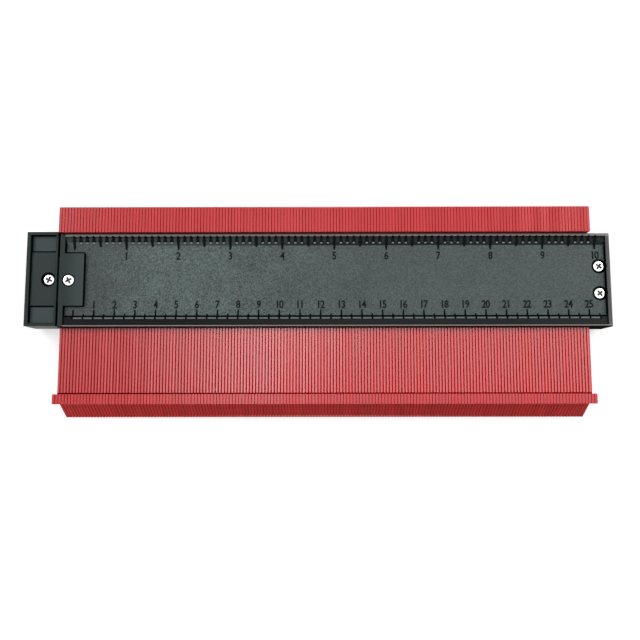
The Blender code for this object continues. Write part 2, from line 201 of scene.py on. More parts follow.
# Screws
HEAD_RADIUS = 2.67 * MM
HEAD_THICKNESS = 1.1 * MM
HEAD_SIDES = 40
CROWN = 0.45 * MM
CROWN_STEPS = 4
SHANK_RADIUS = 1.0 * MM
SEAT_RADIUS = 3.3 * MM
SHANK_STUB = 0.5 * MM
CROSS_SIZE = 4.0 * MM
CROSS_WIDTH = 1.2 * MM
CROSS_DEPTH = 0.7 * MM
CROSS_TAPER = 0.7
SCREW_TURNS = {"clamp_screw": 28, "block_screw": -24, "end_screw_1": 40, "end_screw_2": -36}

# Camera, in the frame of the part
CAMERA_PLACE = (1.85 * MM, -40.78 * MM, 347.58 * MM)
CAMERA_TURN = (math.radians(6.307), math.radians(0.149), math.radians(-0.08))
CAMERA_LENS = 38.85
SENSOR_WIDTH = 36
NEAREST_SEEN = 0.01
FARTHEST_SEEN = 20

# Light
FLOOR_SIZE = 6
FLOOR_DROP = 0.2 * MM
FLOOR_COLOUR = 0.75
FLOOR_GLOW = 0.57
WORLD_LIGHT = 0.30
SIDE_LIGHT = 1.05
SIDE_LIGHT_WIDTH = math.radians(30)
LEFT_LIGHT_FROM = (-0.60, 0.35, 0.72)
RIGHT_LIGHT_FROM = (0.60, 0.35, 0.72)

# Lamps mirrored by the necks of the leaves: place, aim, size and power
LAMPS = {
    "sheen_light": ((-0.105, 0.03, 1.0), (0, 0, 0), (0.43, 0.22), 0.42),
    "wide_sheen_light": ((0.18, 0.03, 1.0), (0.18, 0.03, 0), (1.07, 0.22), 0.92),
}

# Grain of the moulded plastics
FINE = 0.25 * MM
COARSE = 0.32 * MM
PANEL_GRAIN = 0.64 * MM
FELT_GRAIN = 0.5 * MM
GRAIN_BUMP = 0.05 * MM
CLOUD_SCALE = 60.0
CLOUD_SHARE = 0.25
ROUGHNESS_CHANGE = 0.15
NOISE_ROUGHNESS = 0.55

# Moulded plastics: name, colour, roughness, grain size, grain depth, change of tone, specular level
MOULDED = {
    "rim": ("rim_black", (0.045, 0.049, 0.049), 0.38, FINE, 0.10, 0.12, 0.45),
    # A painted highlight, much paler than the rim, on the tops of the front and rear rims
    "edge_rim": ("rim_highlight_black", (0.195, 0.184, 0.184), 0.38, FINE, 0.10, 0.12, 0.5),
    # Painted shade on the outer sides of the covers and along the front edge of their rims
    "side": ("side_shade_black", (0.016, 0.018, 0.017), 0.60, FINE, 0.10, 0.12, 0.0),
    # Painted shade, near black, on inner walls, along inner corners, under the panels and round the screw
    # heads
    "wall": ("painted_shade_black", (0.003, 0.005, 0.005), 0.60, FINE, 0.04, 0.10, 0.0),
    "block_side": ("block_side_satin", (0.016, 0.018, 0.017), 0.45, FINE, 0.10, 0.12, 0.20),
    "block_rim": ("block_rim_satin", (0.015, 0.026, 0.023), 0.42, FINE, 0.10, 0.15, 0.15),
    "block": ("block_satin", (0.0155, 0.0236, 0.0236), 0.42, COARSE, 0.15, 0.20, 0.20),
    "pocket": ("pocket_satin", (0.030, 0.045, 0.048), 0.45, COARSE, 0.10, 0.15, 0.25),
    "panel": ("panel_matte", (0.058, 0.083, 0.081), 0.62, PANEL_GRAIN, 0.60, 3.10, 0.5),
    "pad": ("pad_satin", (0.034, 0.049, 0.049), 0.42, COARSE, 0.20, 0.25, 0.20),
    "ledge": ("rear_ledge_polished", (0.013, 0.016, 0.016), 0.22, FINE, 0.04, 0.10, 0.12),
    "slope": ("rear_slope_polished", (0.013, 0.017, 0.017), 0.30, FINE, 0.04, 0.10, 0.12),
    "front_ledge": ("front_ledge_polished", (0.019, 0.020, 0.020), 0.30, FINE, 0.04, 0.10, 0.05),
    # Painted highlights: the pale raised lips of the centimetre scale and the pale spots at the ends of the
    # short inch ticks
    "highlight_lip": ("highlight_lip_grey", (0.106, 0.120, 0.121), 0.40, FINE, 0.05, 0.15, 0.4),
    "highlight_dot": ("highlight_dot_pale", (0.260, 0.270, 0.270), 0.40, FINE, 0.05, 0.15, 0.4),
    "digit": ("digit_black", (0.013, 0.018, 0.018), 0.50, FINE, 0.04, 0.10, 0.0),
    "tick": ("tick_black", (0.0085, 0.012, 0.012), 0.50, FINE, 0.04, 0.10, 0.0),
    # Black print of the ticks, and also painted shade in the dark bars behind the pad, at the left end of
    # the rear ledge and along the foot of the centimetre lips
    "mark": ("mark_and_shade_black", (0.004, 0.006, 0.006), 0.50, FINE, 0.04, 0.10, 0.0),
    "felt": ("strip_felt", (0.02, 0.02, 0.02), 0.95, FELT_GRAIN, 0.9, 0.3, 0.1),
}

# Painted light and shade on moulded plastics, changing along X: the two places, and the colour at the left
# one. The panel is darker at its left end, as part of its painted glare; the rear ledge and slope carry a
# painted reflection that makes them paler at their left end; the pad and the front ledge carry painted shade
# that makes them darker at their left end
PANEL_ENDS = (BAND_END, BAND_END + 47 * MM)
PAD_ENDS = (COVER_LOW.x, BAND_END + PAD_LENGTH)
LEDGE_ENDS = (-0.110, 0.010)
PAINTED_FADES = {
    "panel": (PANEL_ENDS, (0.026, 0.038, 0.037)),
    "pad": (PAD_ENDS, (0.010, 0.018, 0.017)),
    "ledge": (LEDGE_ENDS, (0.041, 0.051, 0.054)),
    "slope": (LEDGE_ENDS, (0.098, 0.119, 0.121)),
    "front_ledge": (LEDGE_ENDS, (0.008, 0.010, 0.009)),
}

# The painted glare on the panel: its tone falls off to the right, and the grain gets calmer
PAINTED_GLARE_ENDS = (-0.066, 0.012)
PAINTED_GLARE_TONES = (1.0, 0.76)
GRAIN_ENDS = (-0.035, 0.045)
GRAIN_CHANGES = (3.1, 2.0)

# How the leaves differ from each other
LEAF_LEAN = 0.022
LEAF_STREAKS = (2500.0, 60.0, 60.0)
LEAF_CHANCE_SHARE = 0.6
LEAF_ROUGHNESS_CHANGE = 0.10
LEAF_BUMP = 0.03 * MM
LEAF_BUMP_STRENGTH = 0.12

# Reds of the leaves: name, pale colour, dark colour, roughness, specular level, and the length of the fade
# at the left with the tone it starts from. The fade is painted shade, darker at the left end of the row, and
# for the toes painted light, paler there. The groove red is painted shade in the gaps between the leaves and
# in the relief groove; the edge red is a shaded copy of the leaf red on the rounded flank edges
SHORT_FADE = 34 * MM
LONG_FADE = 190 * MM
REDS = {
    "red": ("leaf_red", (0.70, 0.045, 0.051), (0.58, 0.034, 0.040), 0.16, 0.50, SHORT_FADE, 0.92),
    "toe": ("toe_red", (0.78, 0.060, 0.057), (0.56, 0.037, 0.034), 0.50, 0.05, LONG_FADE, 1.14),
    "neck": ("neck_red", (0.67, 0.038, 0.041), (0.56, 0.029, 0.032), 0.13, 1.0, SHORT_FADE, 0.92),
    "groove": ("groove_shade_red", (0.62, 0.012, 0.016), (0.54, 0.009, 0.012), 0.50, 0.0, LONG_FADE, 0.55),
    "edge": ("edge_shade_red", (0.77, 0.032, 0.036), (0.65, 0.024, 0.028), 0.20, 0.12, LONG_FADE, 0.70),
}

# Metals: name, colour, lowest and highest roughness, scale of the streaks
STREAK_TONE = 0.92
METALS = {
    "plated": ("plated_steel", (0.92, 0.92, 0.90), 0.12, 0.30, (900.0, 200.0, 900.0)),
    # Painted shade in the cross recess of the screw heads
    "recess": ("recess_shade_dark", (0.05, 0.05, 0.05), 0.35, 0.50, (900.0, 900.0, 900.0)),
    "spring": ("spring_steel", (0.62, 0.62, 0.60), 0.25, 0.45, (200.0, 2500.0, 200.0)),
}


def start_on(piece):
    """Leave edit mode, deselect everything and pick one piece."""
    if bpy.context.mode != "OBJECT":
        bpy.ops.object.mode_set(mode="OBJECT")
    bpy.ops.object.select_all(action="DESELECT")
    if piece is not None:
        piece.select_set(True)
        bpy.context.view_layer.objects.active = piece


def add_box(name, low, high):
    """A box between two corners, its place in its mesh."""
    start_on(None)
    low, high = Vector(low), Vector(high)
    bpy.ops.mesh.primitive_cube_add(size=1, location=(low + high) / 2, scale=high - low)
    bpy.ops.object.transform_apply(location=True, rotation=True, scale=True)
    return name_piece(name)


def name_piece(name):
    piece = bpy.context.object
    piece.name = name
    piece.data.name = name
    return piece


def edit(piece):
    start_on(piece)
    bpy.ops.object.mode_set(mode="EDIT")
    pick_all()


def done():
    bpy.ops.object.mode_set(mode="OBJECT")


def pick_all():
    bpy.ops.mesh.select_all(action="SELECT")


def pick_faces(test):
    """Select the faces of the piece in edit mode whose centre and normal pass a test."""
    bpy.ops.mesh.select_mode(type="FACE")
    bpy.ops.mesh.select_all(action="DESELECT")
    shape = bmesh.from_edit_mesh(bpy.context.edit_object.data)
    for face in shape.faces:
        face.select_set(bool(test(face.calc_center_median(), face.normal)))
    shape.select_flush_mode()
    bmesh.update_edit_mesh(bpy.context.edit_object.data)


def pick_edges(test):
    """Select the edges of the piece in edit mode whose two ends pass a test."""
    bpy.ops.mesh.select_mode(type="EDGE")
    bpy.ops.mesh.select_all(action="DESELECT")
    shape = bmesh.from_edit_mesh(bpy.context.edit_object.data)
    for edge in shape.edges:
        edge.select_set(bool(test(edge.verts[0].co, edge.verts[1].co)))
    shape.select_flush_mode()
    bmesh.update_edit_mesh(bpy.context.edit_object.data)


def paint(piece, materials, *rules):
    """Paint the faces whose centre and normal pass a rule's test, later rules on top."""
    for key, test in rules:
        index = piece.data.materials.find(materials[key].name)
        for face in piece.data.polygons:
            if test(face.center, face.normal):
                face.material_index = index


def paint_chosen(piece, material):
    """Give one of the piece's materials to the faces left selected by the last edit."""
    index = piece.data.materials.find(material.name)
    for face in piece.data.polygons:
        if face.select:
            face.material_index = index


def extrude(x=0.0, y=0.0, z=0.0):
    bpy.ops.mesh.extrude_region_move(TRANSFORM_OT_translate={"value": (x, y, z)})


def bevel(width, steps=1, clamp=False):
    bpy.ops.mesh.bevel(offset=width, segments=steps, affect="EDGES", clamp_overlap=clamp)


def widen(factor):
    """Widen what is selected evenly to both sides of x 0."""
    bpy.ops.transform.resize(value=(factor, 1, 1), center_override=(0, 0, 0))


def apply_all(piece):
    start_on(piece)
    for modifier in list(piece.modifiers):
        bpy.ops.object.modifier_apply(modifier=modifier.name)


def copy_piece(piece, name, shift=(0, 0, 0), turn=0):
    """A copy with a mesh of its own, turned about Z and then moved in its mesh."""
    copy = bpy.data.objects.new(name, piece.data.copy())
    copy.data.name = name
    copy.data.transform(Matrix.Translation(shift) @ Matrix.Rotation(math.radians(turn), 4, "Z"))
    bpy.context.scene.collection.objects.link(copy)
    return copy


def join(pieces, name):
    start_on(pieces[0])
    for piece in pieces:
        piece.select_set(True)
    bpy.ops.object.join()
    return name_piece(name)


def remove(piece):
    bpy.data.objects.remove(piece, do_unlink=True)


def finish_piece(piece, body, slot, *nodes):
    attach(piece, body)
    if nodes:
        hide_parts(*nodes)


# Shader node groups


def new_group(name, inputs, outputs):
    """An empty node group, its named inputs and outputs each given with their kind."""
    group = bpy.data.node_groups.new(name, "ShaderNodeTree")
    for side, labels in (("INPUT", inputs), ("OUTPUT", outputs)):
        for label, kind in labels.items():
            group.interface.new_socket(label, in_out=side, socket_type="NodeSocket" + kind)
    given = group.nodes.new("NodeGroupInput").outputs
    result = group.nodes.new("NodeGroupOutput").inputs
    return group, Nodes(group), given, result


class Nodes:
    """Adds nodes to one tree and links them."""

    def __init__(self, tree):
        self.tree = tree

    def add(self, kind, **settings):
        node = self.tree.nodes.new("ShaderNode" + kind)
        for label, value in settings.items():
            setattr(node, label, value)
        return node

    def link(self, source, target):
        self.tree.links.new(source, target)

    def noise(self, place, scale, detail):
        node = self.add("TexNoise")
        self.link(place, node.inputs["Vector"])
        node.inputs["Scale"].default_value = scale
        node.inputs["Detail"].default_value = detail
        node.inputs["Roughness"].default_value = NOISE_ROUGHNESS
        return node.outputs["Fac"]

    def math(self, operation, first, second=None, third=None):
        node = self.add("Math", operation=operation)
        for socket, value in zip(node.inputs, (first, second, third)):
            if value is None:
                continue
            if isinstance(value, (int, float)):
                socket.default_value = value
            else:
                self.link(value, socket)
        return node.outputs[0]

    def spread(self, value, low, high):
        """Take a value from 0 to 1 to a range."""
        node = self.add("MapRange")
        self.link(value, node.inputs["Value"])
        for label, end in (("To Min", low), ("To Max", high)):
            if isinstance(end, (int, float)):
                node.inputs[label].default_value = end
            else:
                self.link(end, node.inputs[label])
        return node.outputs["Result"]

    def place(self, group, values):
        """A node group with values for its named inputs."""
        node = self.add("Group", node_tree=group)
        for label, value in values.items():
            node.inputs[label].default_value = value
        return node

    def tone(self, colour, factor):
        """A colour made lighter or darker by a factor."""
        node = self.add("VectorMath", operation="SCALE")
        self.link(colour, node.inputs[0])
        self.link(factor, node.inputs["Scale"])
        return node.outputs[0]

    def blend(self, share, first, second):
        """The first colour where the share is 0, the second where it is 1."""
        node = self.add("Mix", data_type="RGBA")
        for value, label in ((share, "Factor"), (first, "A"), (second, "B")):
            self.link(value, node.inputs[label])
        return node.outputs["Result"]


def make_grain_group():
    """Fine texture of a moulded surface, with soft clouds in its tone."""
    group, nodes, given, result = new_group(
        "moulded_grain",
        {
            "Color": "Color",
            "Roughness": "Float",
            "Grain Size": "Float",
            "Grain Depth": "Float",
            "Tone Change": "Float",
        },
        {"Color": "Color", "Roughness": "Float", "Normal": "Vector"},
    )
    place = nodes.add("TexCoord").outputs["Object"]
    scale = nodes.math("DIVIDE", 1.0, given["Grain Size"])
    grain = nodes.add("TexNoise")
    nodes.link(place, grain.inputs["Vector"])
    nodes.link(scale, grain.inputs["Scale"])
    grain.inputs["Detail"].default_value = 2.0
    clouds = nodes.noise(place, CLOUD_SCALE, detail=4.0)
    grain_part = nodes.math("MULTIPLY", grain.outputs["Fac"], 1 - CLOUD_SHARE)
    mixed = nodes.math("MULTIPLY_ADD", clouds, CLOUD_SHARE, grain_part)
    low = nodes.math("SUBTRACT", 1.0, given["Tone Change"])
    high = nodes.math("ADD", 1.0, given["Tone Change"])
    bump = nodes.add("Bump")
    bump.inputs["Distance"].default_value = GRAIN_BUMP
    nodes.link(given["Grain Depth"], bump.inputs["Strength"])
    nodes.link(grain.outputs["Fac"], bump.inputs["Height"])
    change = nodes.spread(clouds, 1 - ROUGHNESS_CHANGE, 1 + ROUGHNESS_CHANGE)
    nodes.link(nodes.tone(given["Color"], nodes.spread(mixed, low, high)), result["Color"])
    nodes.link(nodes.math("MULTIPLY", given["Roughness"], change), result["Roughness"])
    nodes.link(bump.outputs["Normal"], result["Normal"])
    return group


def make_fade_group():
    """A value and a colour that change smoothly between two places along X."""
    group, nodes, given, result = new_group(
        "fade_along_x",
        {
            "Start": "Float",
            "End": "Float",
            "Left Value": "Float",
            "Right Value": "Float",
            "Left Color": "Color",
            "Right Color": "Color",
        },
        {"Value": "Float", "Color": "Color"},
    )
    parts = nodes.add("SeparateXYZ")
    nodes.link(nodes.add("TexCoord").outputs["Object"], parts.inputs[0])
    share = nodes.add("MapRange", interpolation_type="SMOOTHSTEP")
    nodes.link(parts.outputs["X"], share.inputs["Value"])
    nodes.link(given["Start"], share.inputs["From Min"])
    nodes.link(given["End"], share.inputs["From Max"])
    value = nodes.spread(share.outputs["Result"], given["Left Value"], given["Right Value"])
    colour = nodes.blend(share.outputs["Result"], given["Left Color"], given["Right Color"])
    nodes.link(value, result["Value"])
    nodes.link(colour, result["Color"])
    return group


def make_leaf_group():
    """Red plastic whose tone, gloss and lean differ a little from leaf to leaf."""
    group, nodes, given, result = new_group(
        "leaf_to_leaf",
        {"Pale Color": "Color", "Dark Color": "Color", "Roughness": "Float"},
        {"Color": "Color", "Roughness": "Float", "Normal": "Vector"},
    )
    place = nodes.add("TexCoord").outputs["Object"]
    parts = nodes.add("SeparateXYZ")
    nodes.link(place, parts.inputs[0])
    from_first = nodes.math("SUBTRACT", parts.outputs["X"], BANK_LOW.x - LEAF_PITCH / 2)
    number = nodes.math("FLOOR", nodes.math("DIVIDE", from_first, LEAF_PITCH))
    random = nodes.add("TexWhiteNoise", noise_dimensions="1D")
    nodes.link(number, random.inputs["W"])
    chance = random.outputs["Value"]
    stretched = nodes.add("Mapping")
    stretched.inputs["Scale"].default_value = LEAF_STREAKS
    nodes.link(place, stretched.inputs["Vector"])
    streaks = nodes.noise(stretched.outputs[0], scale=1.0, detail=3.0)
    streak_part = nodes.math("MULTIPLY", streaks, 1 - LEAF_CHANCE_SHARE)
    mixed = nodes.math("MULTIPLY_ADD", chance, LEAF_CHANCE_SHARE, streak_part)
    bump = nodes.add("Bump")
    bump.inputs["Strength"].default_value = LEAF_BUMP_STRENGTH
    bump.inputs["Distance"].default_value = LEAF_BUMP
    nodes.link(nodes.noise(stretched.outputs[0], scale=2.0, detail=2.0), bump.inputs["Height"])
    lean = nodes.add("CombineXYZ")
    nodes.link(nodes.spread(chance, -LEAF_LEAN, LEAF_LEAN), lean.inputs["X"])
    leaning = nodes.add("VectorMath", operation="ADD")
    nodes.link(bump.outputs["Normal"], leaning.inputs[0])
    nodes.link(lean.outputs[0], leaning.inputs[1])
    straight = nodes.add("VectorMath", operation="NORMALIZE")
    nodes.link(leaning.outputs[0], straight.inputs[0])
    highest = nodes.math("ADD", given["Roughness"], LEAF_ROUGHNESS_CHANGE)
    nodes.link(nodes.blend(mixed, given["Dark Color"], given["Pale Color"]), result["Color"])
    nodes.link(nodes.spread(chance, given["Roughness"], highest), result["Roughness"])
    nodes.link(straight.outputs[0], result["Normal"])
    return group


def make_streak_group():
    """Fine turned or brushed streaks of a plated metal."""
    group, nodes, given, result = new_group(
        "metal_streaks",
        {
            "Color": "Color",
            "Lowest Roughness": "Float",
            "Highest Roughness": "Float",
            "Streak Scale": "Vector",
        },
        {"Color": "Color", "Roughness": "Float"},
    )
    stretched = nodes.add("Mapping")
    nodes.link(given["Streak Scale"], stretched.inputs["Scale"])
    nodes.link(nodes.add("TexCoord").outputs["Object"], stretched.inputs["Vector"])
    marks = nodes.noise(stretched.outputs[0], scale=1.0, detail=4.0)
    rough = nodes.spread(marks, given["Lowest Roughness"], given["Highest Roughness"])
    nodes.link(nodes.tone(given["Color"], nodes.spread(marks, STREAK_TONE, 1.0)), result["Color"])
    nodes.link(rough, result["Roughness"])
    return group


def make_material(name):
    material = bpy.data.materials.new(name)
    material.use_nodes = True
    nodes = Nodes(material.node_tree)
    shader = material.node_tree.nodes["Principled BSDF"]
    return material, nodes, shader


def finish_plastic(nodes, shader, surface, specular):
    """Give the shader of a plastic the roughness and grain of its group."""
    nodes.link(surface.outputs["Roughness"], shader.inputs["Roughness"])
    nodes.link(surface.outputs["Normal"], shader.inputs["Normal"])
    shader.inputs["Specular IOR Level"].default_value = specular


def fade_between(nodes, fade, ends, values=(0.0, 1.0)):
    """The fade group with its two places along X and its two values."""
    labels = ("Start", "End", "Left Value", "Right Value")
    return nodes.place(fade, dict(zip(labels, (*ends, *values))))


def moulded_material(groups, key):
    """Moulded plastic with its own grain, and for some a colour that changes along X as painted light or
    shade.
    """
    name, colour, roughness, size, depth, change, specular = MOULDED[key]
    material, nodes, shader = make_material(name)
    values = {"Color": (*colour, 1), "Roughness": roughness, "Tone Change": change}
    surface = nodes.place(groups["grain"], values | {"Grain Size": size, "Grain Depth": depth})
    if key in PAINTED_FADES:
        ends, left_colour = PAINTED_FADES[key]
        faded = fade_between(nodes, groups["fade"], ends)
        faded.inputs["Left Color"].default_value = (*left_colour, 1)
        faded.inputs["Right Color"].default_value = (*colour, 1)
        nodes.link(faded.outputs["Color"], surface.inputs["Color"])
    # The panel's painted glare: its colour is dimmed to the right of it
    if key == "panel":
        tone = fade_between(nodes, groups["fade"], PAINTED_GLARE_ENDS, PAINTED_GLARE_TONES).outputs["Value"]
        calm = fade_between(nodes, groups["fade"], GRAIN_ENDS, GRAIN_CHANGES).outputs["Value"]
        nodes.link(nodes.tone(faded.outputs["Color"], tone), surface.inputs["Color"])
        nodes.link(calm, surface.inputs["Tone Change"])
    nodes.link(surface.outputs["Color"], shader.inputs["Base Color"])
    finish_plastic(nodes, shader, surface, specular)
    return material


def leaf_material(groups, name, pale, dark, roughness, specular, fade, left_tone):
    """One of the reds of the leaves, with painted shade or painted light, a darker or paler tone, at the
    left end of the row.
    """
    material, nodes, shader = make_material(name)
    values = {"Pale Color": (*pale, 1), "Dark Color": (*dark, 1), "Roughness": roughness}
    surface = nodes.place(groups["leaf"], values)
    ends = (BANK_LOW.x, BANK_LOW.x + fade)
    tone = fade_between(nodes, groups["fade"], ends, (left_tone, 1.0)).outputs["Value"]
    nodes.link(nodes.tone(surface.outputs["Color"], tone), shader.inputs["Base Color"])
    finish_plastic(nodes, shader, surface, specular)
    return material


def metal_material(groups, name, colour, low, high, streak):
    """Plated or brushed metal."""
    material, nodes, shader = make_material(name)
    values = {"Color": (*colour, 1), "Lowest Roughness": low, "Highest Roughness": high}
    surface = nodes.place(groups["streaks"], values | {"Streak Scale": streak})
    nodes.link(surface.outputs["Color"], shader.inputs["Base Color"])
    nodes.link(surface.outputs["Roughness"], shader.inputs["Roughness"])
    shader.inputs["Metallic"].default_value = 1.0
    return material


def make_materials():
    groups = {
        "grain": make_grain_group(),
        "fade": make_fade_group(),
        "leaf": make_leaf_group(),
        "streaks": make_streak_group(),
    }
    materials = {key: moulded_material(groups, key) for key in MOULDED}
    materials.update({key: leaf_material(groups, *values) for key, values in REDS.items()})
    materials.update({key: metal_material(groups, *values) for key, values in METALS.items()})
    return materials


# Leaves


def model_leaf():
    """One leaf at the left end of the row: tail, neck, head and sloping toe."""
    left = LEAF_CENTRE - LEAF_WIDTH / 2
    leaf = add_box("leaf", (left, NECK_REAR, 0), (left + LEAF_WIDTH, LEAF_REAR, BANK_HIGH.z))
    edit(leaf)
    for height in (NECK_BOTTOM, NECK_TOP):
        pick_all()
        bpy.ops.mesh.bisect(plane_co=(0, 0, height), plane_no=(0, 0, 1))
    pick_faces(lambda at, out: out.y < -ALONG and NECK_BOTTOM < at.z < NECK_TOP)
    extrude(y=HEAD_REAR - NECK_REAR)
    pick_faces(lambda at, out: out.y < -ALONG and at.y < HEAD_REAR + NEAR)
    extrude(y=-HEAD_LENGTH)
    head = (HEAD_FRONT + HEAD_REAR) / 2
    pick_faces(lambda at, out: out.z > ALONG and abs(at.y - head) < NEAR)
    extrude(z=BANK_HIGH.z - NECK_TOP)
    pick_faces(lambda at, out: out.z < -ALONG and abs(at.y - head) < NEAR)
    extrude(z=-NECK_BOTTOM)
    merge_flats()
    shape_toe()
    cut_relief()
    chamfer_tail()
    merge_flats()
    pick_faces(lambda at, out: out.x > ALONG)
    bpy.ops.mesh.inset(thickness=SPACER_INSET)
    extrude(x=SPACER_HEIGHT)
    round_leaf(left)
    done()
    bpy.ops.object.shade_flat()
    return leaf


def merge_flats():
    """Make each flat side one face."""
    pick_all()
    bpy.ops.mesh.dissolve_limited(angle_limit=FLAT_LEAF)


def cut_relief():
    """Sink the thin relief groove where the neck meets the head."""

    def on_neck_top(at, out):
        return out.z > ALONG and abs(at.z - NECK_TOP) < NEAR

    pick_faces(on_neck_top)
    bpy.ops.mesh.bisect(plane_co=(0, RELIEF_REAR, 0), plane_no=(0, 1, 0))
    pick_faces(lambda at, out: on_neck_top(at, out) and at.y < RELIEF_REAR)
    extrude(z=-RELIEF_DEPTH)


def shape_toe():
    """Push the lower half of the head's front out and lay its upper edge back."""
    pick_faces(lambda at, out: at.y < HEAD_REAR + NEAR)
    bpy.ops.mesh.bisect(plane_co=(0, 0, TOE_HEIGHT), plane_no=(0, 0, 1))
    pick_faces(lambda at, out: out.y < -ALONG and at.y < HEAD_FRONT + NEAR and at.z < TOE_HEIGHT)
    extrude(y=-TOE_LENGTH)
    pick_edges(lambda a, b: all(p.y < LEAF_TIP + NEAR and abs(p.z - TOE_HEIGHT) < NEAR for p in (a, b)))
    bpy.ops.transform.translate(value=(0, TOE_LENGTH, 0))
    pick_all()
    bpy.ops.mesh.remove_doubles(threshold=NEAR)


def chamfer_tail():
    """Cut the upper rear corner of the tail."""
    pick_edges(lambda a, b: all(p.y > LEAF_REAR - NEAR and p.z > BANK_HIGH.z - NEAR for p in (a, b)))
    bevel(TAIL_CHAMFER)


def round_leaf(left):
    """Round the long edges that run round both flanks."""
    flanks = (left, left + LEAF_WIDTH)

    def on_flank(a, b):
        return any(abs(a.x - x) < NEAR and abs(b.x - x) < NEAR for x in flanks)

    def on_neck(a, b):
        low, high = sorted((a.z, b.z))
        return abs(a.y - b.y) > NECK_HEIGHT and low > NECK_TOP - NEAR and high < NECK_TOP + NEAR

    bpy.ops.mesh.select_mode(type="EDGE")
    bpy.ops.mesh.select_all(action="DESELECT")
    shape = bmesh.from_edit_mesh(bpy.context.edit_object.data)
    for edge in shape.edges:
        sharp = len(edge.link_faces) == 2 and edge.calc_face_angle() > SHARP
        spacer = any(face.calc_center_median().x > flanks[1] + NEAR for face in edge.link_faces)
        ends = [vert.co for vert in edge.verts]
        edge.select_set(sharp and not spacer and on_flank(*ends) and not on_neck(*ends))
    shape.select_flush_mode()
    bmesh.update_edit_mesh(bpy.context.edit_object.data)
    bevel(LEAF_ROUNDING, clamp=True)
    pick_edges(lambda a, b: on_flank(a, b) and on_neck(a, b))
    bevel(NECK_ROUNDING, steps=2)


def make_leaves(materials):
    """Each bank of leaves rides on its own slide."""
    leaf = model_leaf()
    for key in REDS:
        leaf.data.materials.append(materials[key])
    right = LEAF_CENTRE + LEAF_WIDTH / 2 + NEAR

    def on_toe(at, out):
        return out.y < -LEANING and at.y < HEAD_FRONT and at.z < TOE_HEIGHT

    def in_relief(at, out):
        return HEAD_REAR - NEAR < at.y < RELIEF_REAR + NEAR and MIDDLE < at.z < NECK_TOP - NEAR

    # The toes and the necks get their own reds; the rounded flank edges a shaded copy of the red; the
    # flanks, the spacers and the relief groove painted shade
    paint(
        leaf,
        materials,
        ("toe", on_toe),
        ("neck", lambda at, out: HEAD_REAR < at.y < NECK_REAR),
        ("edge", lambda at, out: abs(out.x) > LEANING and at.y > HEAD_FRONT),
        ("groove", lambda at, out: abs(out.x) > FLANK or at.x > right),
        ("groove", in_relief),
    )
    for bank in range(BANKS):
        number = f"{bank + 1:02d}"
        leaves = [
            copy_piece(leaf, f"leaf_{number}_{place}", ((bank * LEAVES_PER_BANK + place) * LEAF_PITCH, 0, 0))
            for place in range(LEAVES_PER_BANK)
        ]
        piece = join(leaves, f"leaves_{number}")
        finish_piece(piece, f"leaf_bank_{number}", "red_plastic", f"leaf_bank_{number}")
    remove(leaf)


# Covers and block


def shell_copy(node, name, materials):
    """A copy of a node's mesh, merged, with one face for each flat side."""
    piece = bpy.data.objects.new(name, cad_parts[node].data.copy())
    piece.data.name = name
    bpy.context.scene.collection.objects.link(piece)
    piece.data.materials.clear()
    for material in materials:
        piece.data.materials.append(material)
    edit(piece)
    bpy.ops.mesh.remove_doubles(threshold=NEAR / 10)
    bpy.ops.mesh.dissolve_limited(angle_limit=FLAT_SHELL)
    done()
    return piece


def round_edges(piece):
    """Round every edge of a moulded shell a little."""
    start_on(piece)
    rounding = piece.modifiers.new("rounding", "BEVEL")
    rounding.width = EDGE_ROUNDING
    rounding.segments = 2
    rounding.limit_method = "ANGLE"
    rounding.angle_limit = ROUNDED_SHARP
    apply_all(piece)
    bpy.ops.object.shade_smooth_by_angle(angle=SHARP)


def is_upright(at, out):
    """A test for the upright faces of a shell."""
    return abs(out.z) < LEANING


def inner_wall_test(node):
    """A test for the upright faces that don't lie on the outer sides of a shell."""
    low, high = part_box(node)

    def test(at, out):
        outer = min(at.x - low.x, high.x - at.x, at.y - low.y, high.y - at.y) < OUTER_SKIN
        return is_upright(at, out) and not outer

    return test


def outward_tests(back):
    """The height of a place, as if its half were on top, and tests for the outward faces."""

    def height(at):
        return 2 * MIDDLE - at.z if back else at.z

    def faces_out(out):
        return (-out.z if back else out.z) > LEANING

    def level(z):
        return lambda at, out: faces_out(out) and abs(height(at) - z) < LEVEL

    return height, faces_out, level


def in_seat(at):
    """Whether a place lies under the head of a screw."""
    for node in SCREW_TURNS:
        low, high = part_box(node)
        if math.hypot(at.x - (low.x + high.x) / 2, at.y - (low.y + high.y) / 2) < SEAT_RADIUS:
            return True
    return False


def square_corners(piece, left, right, front, rear):
    """Draw the round upright corners of a housing out to square ones."""
    for vertex in piece.data.vertices:
        for x, inward_x in ((left, 1), (right, -1)):
            for y, inward_y in ((front, 1), (rear, -1)):
                away_x = (vertex.co.x - x) * inward_x - CORNER_RADIUS
                away_y = (vertex.co.y - y) * inward_y - CORNER_RADIUS
                inset = max(CORNER_RADIUS - math.hypot(away_x, away_y), 0)
                if max(away_x, away_y) < NEAR and inset < CORNER_RADIUS / 2:
                    vertex.co.x = x + inward_x * inset
                    vertex.co.y = y + inward_y * inset
    edit(piece)
    bpy.ops.mesh.remove_doubles(threshold=NEAR)
    done()


